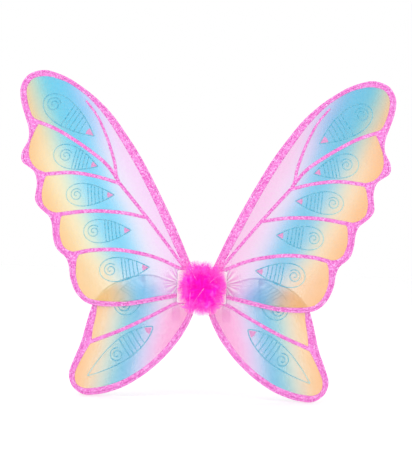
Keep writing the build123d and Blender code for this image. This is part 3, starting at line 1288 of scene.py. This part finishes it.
def make_pad():
    """The pad against the back and its bound edge."""
    tint = colours()
    half_x, back, half_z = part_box("pad_back_cover")[1]
    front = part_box("pad_front_cover")[0].y
    binding_low, binding_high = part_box("pad_edge_binding")
    outline = rounded_outline(half_x - 0.6 * MM, half_z - 0.6 * MM, 3 * MM, 96, 0.5 * MM)
    points, faces = cushion_mesh(outline, back, front, 0.45, 6, 0.25 * MM)
    # The pad's colour is white cloth greyed as painted shade
    look = finish("pad_cloth", cloth, tint.pad[:], 0.9 * MM)
    pad = piece("back_pad", points, faces, look, slot="pad_fabric")
    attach(pad, HUB)
    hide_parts("pad_back_cover", "pad_front_cover", "pad_foam")
    path = rounded_outline(half_x - 1.0 * MM, half_z - 1.0 * MM, 2.6 * MM, 160, 0.3 * MM)
    middle = (binding_low.y + binding_high.y) / 2
    half = (binding_high.y - binding_low.y) / 2
    points, faces = ring_tube(path, middle, BINDING_HALF, half)
    # The binding's colour is white cloth greyed as painted shade
    look = finish("binding_cloth", cloth, tint.binding[:], 0.6 * MM)
    binding = piece("pad_binding", points, faces, look, slot="pad_fabric")
    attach(binding, HUB)
    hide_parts("pad_edge_binding")
    path = rounded_outline(half_x - 3.0 * MM, half_z - 3.0 * MM, 1.5 * MM, 160, 0.3 * MM)
    row = stitch_row(path, sizes().stitch_pitch, 2.0 * MM, 0.22 * MM, back - STITCH_SEAT, 1)
    look = finish("pad_thread", cloth, tint.thread[:], THREAD_PLY)
    thread = piece("pad_stitches", *row, look, slot="thread")
    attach(thread, HUB)


# Half the width of the binding, how deep the pad's stitches lie and the twist of the thread
BINDING_HALF = 0.98 * MM
STITCH_SEAT = 1.25 * MM
THREAD_PLY = 0.4 * MM


def ring_tube(path, middle, half_wide, half_high, sides=14):
    """A closed tube along a closed outline at one level."""
    ahead = unit(np.roll(path, -1, axis=0) - np.roll(path, 1, axis=0))
    outward = np.column_stack([ahead[:, 1], -ahead[:, 0]])
    points = []
    for (x, z), (ox, oz) in zip(path, outward):
        for i in range(sides):
            angle = math.tau * i / sides
            wide = math.cos(angle) * half_wide
            points.append((x + ox * wide, middle + math.sin(angle) * half_high, z + oz * wide))
    return np.array(points), [face[::-1] for face in tube_faces(len(path), sides, closed=True)]


def stitch_row(path, pitch, long, half, level, face):
    """A row of sewn stitches along a closed outline, their ends sunk in the cloth."""
    closed = np.vstack([path, path[:1]])
    even, _ = evenly(closed, pitch / STITCH_STEPS)
    points, faces = [], []
    for start in range(0, len(even) - STITCH_STEPS, STITCH_STEPS):
        first = even[start]
        last = even[start + round(STITCH_STEPS * long / pitch)]
        run = unit(last - first)
        aside = np.array([-run[1], run[0]])
        base = len(points)
        for share in np.linspace(0, 1, STITCH_RINGS):
            centre = first + (last - first) * share
            arch = math.sin(math.pi * (0.08 + 0.84 * share))
            for j in range(STITCH_SIDES):
                angle = math.tau * j / STITCH_SIDES
                flat = centre + aside * half * arch * math.cos(angle)
                rise = half * (arch * (0.5 + math.sin(angle)) - 0.35)
                points.append((flat[0], level + face * rise, flat[1]))
        faces += [tuple(base + i for i in ring) for ring in tube_faces(STITCH_RINGS, STITCH_SIDES)]
    if face < 0:
        faces = [ring[::-1] for ring in faces]
    return np.array(points), faces


# Points of the outline to one stitch, and the rings and sides of its thread
STITCH_STEPS = 6
STITCH_RINGS = 5
STITCH_SIDES = 6


def make_patch():
    """The satin patch over the wing roots, and its stitches."""
    tint = colours()
    low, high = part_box("front_patch")
    outline = rounded_outline(high.x, high.z, 3 * MM, 96, 0.4 * MM)
    points, faces = cushion_mesh(outline, high.y, low.y - 0.15 * MM, 0.75, 10, 0.12 * MM)
    look = finish("satin", cloth, tint.satin[:], 0.7 * MM, 0.9, 0.3)
    patch = piece("satin_patch", points, faces, look, slot="patch_satin")
    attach(patch, HUB)
    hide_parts("front_patch")
    half_x, back, half_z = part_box("patch_stitches")[1]
    inset = 0.6 * MM
    path = rounded_outline(half_x - inset, half_z - inset, 1.6 * MM, 160, 0.2 * MM)
    row = stitch_row(path, sizes().stitch_pitch, 1.9 * MM, 0.26 * MM, back + 0.02 * MM, -1)
    look = finish("patch_thread", cloth, tint.thread[:], THREAD_PLY)
    thread = piece("patch_thread", *row, look, slot="thread")
    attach(thread, HUB)
    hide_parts("patch_stitches")


def unit(vectors):
    """Vectors scaled to length one."""
    return vectors / np.maximum(np.linalg.norm(vectors, axis=-1, keepdims=True), 1e-9)


def tapered_hairs(paths, radius):
    """Closed three-sided hairs along many paths of the same count of points, thin at their ends."""
    count, rings, _ = paths.shape
    ahead = unit(np.gradient(paths, axis=1))
    up = np.zeros_like(ahead)
    up[..., 2] = 1
    up[np.abs(ahead[..., 2]) > 0.9] = (1, 0, 0)
    side = unit(np.cross(ahead, up))
    over = np.cross(ahead, side)
    taper = (1 - np.linspace(0, 1, rings) ** 1.5 * 0.9)[None, :, None] * np.reshape(radius, (-1, 1, 1))
    corners = []
    for j in range(3):
        angle = math.tau * j / 3
        corners.append(paths + taper * (math.cos(angle) * side + math.sin(angle) * over))
    points = np.stack(corners, 2).reshape(-1, 3)
    pattern = np.array([face for face in tube_faces(rings, 3) if len(face) == 4])
    caps = [face for face in tube_faces(rings, 3) if len(face) == 3]
    starts = np.arange(count) * rings * 3
    quads = (starts[:, None, None] + pattern[None]).reshape(-1, 4)
    ends = (starts[:, None, None] + np.array(caps)[None]).reshape(-1, 3)
    return points, [tuple(face) for face in quads] + [tuple(face) for face in ends]


def make_puff():
    """The marabou puff: quills that spread from the disc, each with two rows of soft barbs."""
    tint = colours()
    random = np.random.default_rng(11)
    low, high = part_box("feather_puff")
    middle = np.array([0, high.y, (low.z + high.z) / 2])
    reach = np.array([(high.x - low.x) / 2, high.y - low.y, (high.z - low.z) / 2])
    plumes = sizes().plumes
    angle = random.uniform(0, math.tau, plumes)
    lift = random.uniform(0.03, 1.0, plumes)
    flat = np.sqrt(1 - lift**2)
    aim = np.column_stack([np.cos(angle) * flat, -lift, np.sin(angle) * flat])
    square = (np.abs(aim) ** PUFF_SQUARE).sum(-1) ** (-1 / PUFF_SQUARE)
    tuft = 0.5 + 0.5 * np.sin(angle * 5 + 0.8 + 1.6 * np.sin(angle * 2)) * np.cos(angle * 3 - lift * 2)
    length = square * random.uniform(0.74, 1.02, plumes) * (0.90 + 0.16 * tuft)
    tips = middle + aim * reach * length[:, None]
    spread = flat * ROOT_SPREAD
    roots = middle + np.column_stack([
        np.cos(angle) * spread * reach[0], np.full(plumes, -ROOT_LIFT), np.sin(angle) * spread * reach[2]
    ])
    curl = unit(random.normal(size=(plumes, 3))) * QUILL_CURL
    share = np.linspace(0, 1, QUILL_RINGS)[None, :, None]
    quills = roots[:, None] * (1 - share) + tips[:, None] * share + curl[:, None] * np.sin(share * math.pi)
    quills = held_in(quills, middle, reach)
    bare = bare_shafts(middle, reach)
    points, faces = tapered_hairs(np.concatenate([quills, bare]), np.full(plumes + len(bare), QUILL_HALF))
    look = finish("quill", marabou, tint.quill[:], tint.quill[:])
    shafts = piece("puff_quills", points, faces, look, slot="marabou")
    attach(shafts, HUB)
    barbs = barb_paths(random, quills, middle, reach)
    points, faces = tapered_hairs(barbs, random.uniform(0.14, 0.30, len(barbs)) * MM)
    look = finish("marabou", marabou, tint.feather[:], tint.feather_pale[:])
    down = piece("puff_barbs", points, faces, look, slot="marabou")
    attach(down, HUB)
    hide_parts("feather_puff")
    heart = puff_heart(random, middle, reach)
    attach(heart, HUB)


# A quill's rings, its half thickness, how far it curls, how wide the roots stand and how high
QUILL_RINGS = 9
QUILL_HALF = 0.26 * MM
QUILL_CURL = 4.2 * MM
ROOT_SPREAD = 0.28
ROOT_LIFT = 0.3 * MM
# How square the puff's form is, and how far past it a feather may reach
PUFF_SQUARE = 2.7
PUFF_LOOSE = 1.05
# Bare shafts that lie on the puff's front: x and z of their two ends, in mm
LOOSE_SHAFTS = [
    ((3, -1), (-13.5, -27)), ((-17, -8), (-17.5, -38)), ((12, 8), (27, 20)), ((-9, 12), (-20, 30)),
]


def held_in(paths, middle, reach):
    """Paths drawn back inside the puff's rounded form and off the patch."""
    local = (paths - middle) / reach
    far = (np.abs(local) ** PUFF_SQUARE).sum(-1, keepdims=True) ** (1 / PUFF_SQUARE)
    local = local / np.maximum(far / PUFF_LOOSE, 1)
    held = middle + local * reach
    held[..., 1] = np.minimum(held[..., 1], middle[1] + PATCH_GIVE)
    return held


# How far feathers sink into the patch behind them
PATCH_GIVE = 0.4 * MM


def bare_shafts(middle, reach):
    """Quills that have lost their barbs and lie over the front of the puff."""
    share = np.linspace(0, 1, QUILL_RINGS)
    paths = []
    for (x0, z0), (x1, z1) in LOOSE_SHAFTS:
        x = (x0 + (x1 - x0) * share) * MM
        z = (z0 + (z1 - z0) * share) * MM + np.sin(share * math.pi) * 0.6 * MM
        out = (np.abs(x / reach[0]) ** 2 + np.abs((z - middle[2]) / reach[2]) ** 2).clip(0, 0.96)
        paths.append(np.column_stack([x, middle[1] - reach[1] * np.sqrt(1 - out) * 0.98, z]))
    return np.array(paths)


def barb_paths(random, quills, middle, reach):
    """Curved barbs on both sides of every quill."""
    plumes = len(quills)
    count = sizes().barbs
    where = random.uniform(0.18, 1.0, (plumes, count))
    step = where * (QUILL_RINGS - 1)
    below = np.minimum(step.astype(int), QUILL_RINGS - 2)
    share = (step - below)[..., None]
    row = np.arange(plumes)[:, None]
    starts = quills[row, below] * (1 - share) + quills[row, below + 1] * share
    ahead = unit(quills[row, below + 1] - quills[row, below])
    aside = unit(np.cross(ahead, unit(random.normal(size=(plumes, 1, 3)))))
    sign = np.where(np.arange(count) % 2 == 0, 1, -1)[None, :, None]
    lean = unit(aside * sign * 0.9 + ahead * 0.75 + random.normal(size=starts.shape) * 0.35)
    long = random.uniform(*BARB_LONG, (plumes, count, 1))
    bend = unit(random.normal(size=starts.shape)) * BARB_BEND
    rings = np.linspace(0, 1, BARB_RINGS)[None, None, :, None]
    paths = starts[:, :, None] + lean[:, :, None] * long[:, :, None] * rings
    paths = paths + bend[:, :, None] * rings**2 + (ahead * long * 0.35)[:, :, None] * rings**2
    return held_in(paths, middle, reach).reshape(-1, BARB_RINGS, 3)


# A barb's rings, its shortest and longest length and how far it bends
BARB_RINGS = 5
BARB_LONG = (7 * MM, 15 * MM)
BARB_BEND = 2.6 * MM


def puff_heart(random, middle, reach):
    """The dense lumpy down in the middle of the puff."""
    rings, around = 20, 48
    points = []
    phase = random.uniform(0, math.tau, 6)
    for i in range(rings + 1):
        lift = i / rings * math.pi / 2
        flat = math.cos(lift) if i < rings else HEART_HOLE
        for j in range(around):
            turn = math.tau * j / around
            lump = 1 + 0.07 * math.sin(5 * turn + phase[0] + 3 * lift)
            lump += 0.06 * math.sin(9 * turn + phase[1] - 5 * lift)
            lump += 0.05 * math.sin(13 * turn + phase[2]) * math.sin(7 * lift + phase[3])
            size = HEART_SHARE * lump
            points.append((
                math.cos(turn) * flat * reach[0] * size,
                middle[1] - math.sin(lift) * reach[1] * size,
                middle[2] + math.sin(turn) * flat * reach[2] * size,
            ))
    faces = tube_faces(rings + 1, around)
    look = finish("marabou", marabou, colours().feather[:], colours().feather_pale[:])
    return piece("puff_heart", points, faces, look, slot="marabou")


# The heart's size beside the puff's, and the small ring that closes its front
HEART_SHARE = 0.8
HEART_HOLE = 0.02
# The right arm loop, from its upper sewn end round to its lower one: distance behind the pad's side and
# height, in mm
STRAP_ROUTE = [
    (9, 17), (34, 24), (62, 50), (98, 60), (130, 40), (142, 0), (128, -40), (94, -60), (58, -48), (32, -24),
    (9, -17),
]
STRAP_ACROSS = 10
# How far behind the seam the loop's own curve starts
STRAP_LEAVES = 1.5 * MM


def strap_seat():
    """The x and the level of the line where the right arm loop leaves the pad."""
    low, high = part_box("right_strap")
    tab_low, tab_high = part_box("strap_tabs")
    return (low.x + high.x) / 2, (tab_low.y + tab_high.y) / 2


def strap_line():
    """The middle line of the right arm loop, with its two sewn ends."""
    line_x, level = strap_seat()
    tab_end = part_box("strap_tabs")[1]
    top = tab_end.z - sizes().strap_width / 2
    curve = bpy.data.curves.new("strap_line", "CURVE")
    curve.dimensions = "3D"
    curve.resolution_u = 14
    spline = curve.splines.new("NURBS")
    route = [(line_x, level + away * MM, height * MM) for away, height in STRAP_ROUTE]
    route = [(line_x, level + STRAP_LEAVES, top), *route, (line_x, level + STRAP_LEAVES, -top)]
    spline.points.add(len(route) - 1)
    for point, place in zip(spline.points, route):
        point.co = (*place, 1)
    spline.order_u = 3
    spline.use_endpoint_u = True
    holder = bpy.data.objects.new("strap_line", curve)
    made = bpy.data.meshes.new_from_object(holder)
    loop = np.array([vertex.co[:] for vertex in made.vertices])
    bpy.data.objects.remove(holder)
    bpy.data.meshes.remove(made)
    inner = tab_end.x - 2.2 * MM
    bend = line_x - 1.4 * MM
    start = [(inner, level, top), (bend - 1 * MM, level, top), (bend + 0.4 * MM, level + 0.15 * MM, top),
             (line_x - 0.3 * MM, level + 0.7 * MM, top)]
    end = [(x, y, -z) for x, y, z in start[::-1]]
    return np.vstack([start, loop, end])


def strap_twist(path, along):
    """The elastic's across and through directions: flat where it is sewn, turned on edge round the arm."""
    ahead = unit(np.gradient(path, axis=0))
    upright = np.array([0.0, 0.0, 1.0])
    sideways = np.array([1.0, 0.0, 0.0])
    from_end = np.minimum(along, along[-1] - along)
    turn = smooth_step((from_end - TURN_START) / TURN_LENGTH) * math.pi / 2
    first = unit(np.cross(sideways, ahead))
    first[first @ upright < 0] *= -1
    for i in range(1, len(first)):
        if first[i] @ first[i - 1] < 0:
            first[i] *= -1
    sewn = unit(np.cross(np.cross(ahead, upright), ahead))
    near = (1 - smooth_step((from_end - SEWN_LENGTH) / SEWN_FADE))[:, None]
    halfway = len(first) // 2
    sign = np.ones(len(first))
    sign[halfway:] = np.sign(sewn[halfway:] @ upright) * np.sign(first[-12] @ upright)
    first = unit(first * (1 - near) + sewn * sign[:, None] * near)
    wide = unit(np.cos(turn)[:, None] * first + np.sin(turn)[:, None] * sideways)
    return wide, unit(np.cross(ahead, wide))


# Where the elastic starts to turn on edge and over what length, and how far it stays flat at its sewn ends
TURN_START = 14 * MM
TURN_LENGTH = 34 * MM
SEWN_LENGTH = 4 * MM
SEWN_FADE = 6 * MM


def make_strap(side_name, side):
    """One elastic arm loop, sewn flat into the pad's edge and turned on edge round the arm."""
    path, along = evenly(strap_line(), STRAP_PITCH)
    wide, thick = strap_twist(path, along)
    half_wide = sizes().strap_width / 2 * STRAP_TRIM
    half_thick = sizes().strap_thick / 2 * 0.9
    ring, rest = [], []
    for face in (1, -1):
        for i in range(STRAP_ACROSS + 1):
            share = (i / STRAP_ACROSS * 2 - 1) * face
            lens = half_thick * (1 - 0.55 * abs(share) ** 6)
            ring.append(path + wide * half_wide * share + thick * lens * face)
            rest.append(np.column_stack([along, np.full(len(along), share * half_wide)]))
    points = np.stack(ring, 1).reshape(-1, 3)
    rest = np.stack(rest, 1).reshape(-1, 2)
    points, faces = on_side(points, tube_faces(len(path), len(ring)), side)
    look = finish("elastic", elastic, colours().elastic[:])
    strap = piece(f"{side_name}_elastic", points, faces, look, rest, slot="elastic")
    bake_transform(strap)
    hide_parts(f"{side_name}_strap", *(["strap_tabs"] if side > 0 else []))
    return strap


STRAP_PITCH = 1.5 * MM
# The elastic stays this share of its width inside its solid
STRAP_TRIM = 0.985


def recalculated(thing):
    """A mesh whose faces all look outwards."""
    work = bmesh.new()
    work.from_mesh(thing.data)
    bmesh.ops.recalc_face_normals(work, faces=work.faces)
    work.to_mesh(thing.data)
    work.free()


def dress(node, material):
    """Gives a frame part its finish."""
    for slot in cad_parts[node].material_slots:
        slot.material = material


# Operators


class WINGS_OT_stage(bpy.types.Operator):
    """Camera, floor, backdrop and lights"""

    bl_idname = "wings.stage"
    bl_label = "Stage"

    def execute(self, context):
        make_camera()
        make_floor()
        make_lights()
        context.scene.view_settings.view_transform = "Standard"
        return {"FINISHED"}


VIEW_DISTANCE = 3.0
VIEW_TALL = 685.5 * MM
VIEW_AIM = (3.25 * MM, -11 * MM, 87.9 * MM)
VIEW_ROLL = math.radians(1.96)
VIEW_CLIP = 50


def make_camera():
    """A long lens square on to the front, turned a little."""
    data = bpy.data.cameras.new("camera")
    data.sensor_width = 36
    data.lens = data.sensor_width * VIEW_DISTANCE / VIEW_TALL
    data.clip_end = VIEW_CLIP
    camera = bpy.data.objects.new("camera", data)
    bpy.context.collection.objects.link(camera)
    aim = Vector(VIEW_AIM)
    turn = Euler((math.pi / 2, 0, 0)).to_matrix().to_4x4() @ Matrix.Rotation(VIEW_ROLL, 4, "Z")
    camera.matrix_world = Matrix.Translation(aim - Vector((0, VIEW_DISTANCE, 0))) @ turn
    bpy.context.scene.camera = camera


def make_floor():
    """A plain white floor, as bright as the air behind it."""
    look = Finish("floor", Roughness=0.9)
    grain = look.noise(look.spot(), 0.4, 2.0)
    shade = [part * 0.995 for part in colours().floor]
    look.feed("Base Color", look.mix(grain, shade, colours().floor[:]))
    level = cad_box[0].z - FLOOR_GAP
    points = [(x * FLOOR_REACH, y * FLOOR_REACH, level) for x, y in ((-1, -1), (1, -1), (1, 1), (-1, 1))]
    piece("floor", points, [(0, 1, 2, 3)], look.material)


FLOOR_REACH = 9.0
FLOOR_GAP = 1 * MM
WORLD_LIGHT = 1.0
# Each lamp's name, place, power and width
LAMPS = (
    ("key", (-1.6, -2.6, 1.9), 26, 1.8),
    ("fill", (1.9, -2.4, 1.1), 13, 2.0),
    ("back", (0.6, 2.6, 2.0), 7, 2.0),
)
LAMP_AIM = (0, 0, 0.1)


def make_lights():
    """Even light from all round, with a large soft lamp each side of the front and one behind."""
    world = bpy.data.worlds.new("studio")
    world.use_nodes = True
    background = world.node_tree.nodes["Background"]
    background.inputs["Color"].default_value = (1, 1, 1, 1)
    background.inputs["Strength"].default_value = WORLD_LIGHT
    bpy.context.scene.world = world
    for name, place, power, size in LAMPS:
        data = bpy.data.lights.new(name, "AREA")
        data.energy = power
        data.size = size
        lamp = bpy.data.objects.new(name, data)
        lamp.location = place
        lamp.rotation_euler = (Vector(LAMP_AIM) - Vector(place)).to_track_quat("-Z", "Y").to_euler()
        bpy.context.collection.objects.link(lamp)


class WINGS_OT_wings(bpy.types.Operator):
    """The four wings: rolled rim, sheer cloth, glitter and print"""

    bl_idname = "wings.wings"
    bl_label = "Wings"

    def execute(self, context):
        for wing in ("upper", "lower"):
            for side_name, side in SIDES:
                recalculated(make_rim(wing, side_name, side))
                make_cloth(wing, side_name, side)
                make_glitter(wing, side_name, side)
                make_motifs(wing, side_name, side)
        return {"FINISHED"}


class WINGS_OT_pad(bpy.types.Operator):
    """The back pad, its binding, the satin patch and the stitches"""

    bl_idname = "wings.pad"
    bl_label = "Pad and patch"

    def execute(self, context):
        make_pad()
        make_patch()
        return {"FINISHED"}


class WINGS_OT_puff(bpy.types.Operator):
    """The marabou puff"""

    bl_idname = "wings.puff"
    bl_label = "Feather puff"

    def execute(self, context):
        make_puff()
        return {"FINISHED"}


class WINGS_OT_straps(bpy.types.Operator):
    """The two elastic arm loops"""

    bl_idname = "wings.straps"
    bl_label = "Arm loops"

    def execute(self, context):
        for side_name, side in SIDES:
            recalculated(make_strap(side_name, side))
        return {"FINISHED"}


class WINGS_OT_fittings(bpy.types.Operator):
    """Finishes for the wires, crimps, tapes and felt disc"""

    bl_idname = "wings.fittings"
    bl_label = "Fittings"

    def execute(self, context):
        tint = colours()
        wire = finish("wire_coat", coated_wire, tint.wire_coat[:])
        sleeve = finish("crimp_steel", steel, tint.steel[:])
        tape = finish("tape_cloth", cloth, tint.satin[:], 0.8 * MM)
        for wing in ("upper", "lower"):
            dress(f"{wing}_tape", tape)
            for side_name, _ in SIDES:
                dress(f"{wing}_{side_name}_wire", wire)
                dress(f"{wing}_{side_name}_wire_root", wire)
                dress(f"{wing}_{side_name}_crimp", sleeve)
        dress("puff_disc", finish("felt", felt, tint.felt[:]))
        return {"FINISHED"}


class WINGS_PT_panel(bpy.types.Panel):
    """Lists the pieces and their sizes and colours"""

    bl_label = "Fairy wings"
    bl_idname = "WINGS_PT_panel"
    bl_space_type = "VIEW_3D"
    bl_region_type = "UI"
    bl_category = "Fairy wings"

    def draw(self, context):
        for operator in OPERATORS:
            self.layout.operator(operator.bl_idname)
        for group in (context.scene.wings_sizes, context.scene.wings_colours):
            box = self.layout.box()
            for name in group.__annotations__:
                box.prop(group, name)


OPERATORS = (WINGS_OT_stage, WINGS_OT_wings, WINGS_OT_pad, WINGS_OT_puff, WINGS_OT_straps, WINGS_OT_fittings)
CLASSES = (WINGS_PG_sizes, WINGS_PG_colours, *OPERATORS, WINGS_PT_panel)


def register():
    """Adds the classes and the settings."""
    for each in CLASSES:
        bpy.utils.register_class(each)
    bpy.types.Scene.wings_sizes = PointerProperty(type=WINGS_PG_sizes)
    bpy.types.Scene.wings_colours = PointerProperty(type=WINGS_PG_colours)


def unregister():
    """Takes them away again."""
    del bpy.types.Scene.wings_colours
    del bpy.types.Scene.wings_sizes
    for each in reversed(CLASSES):
        bpy.utils.unregister_class(each)


def main():
    """Builds every piece in order."""
    register()
    bpy.ops.wings.stage()
    bpy.ops.wings.wings()
    bpy.ops.wings.pad()
    bpy.ops.wings.puff()
    bpy.ops.wings.straps()
    bpy.ops.wings.fittings()
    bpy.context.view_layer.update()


if __name__ == "__main__":
    main()
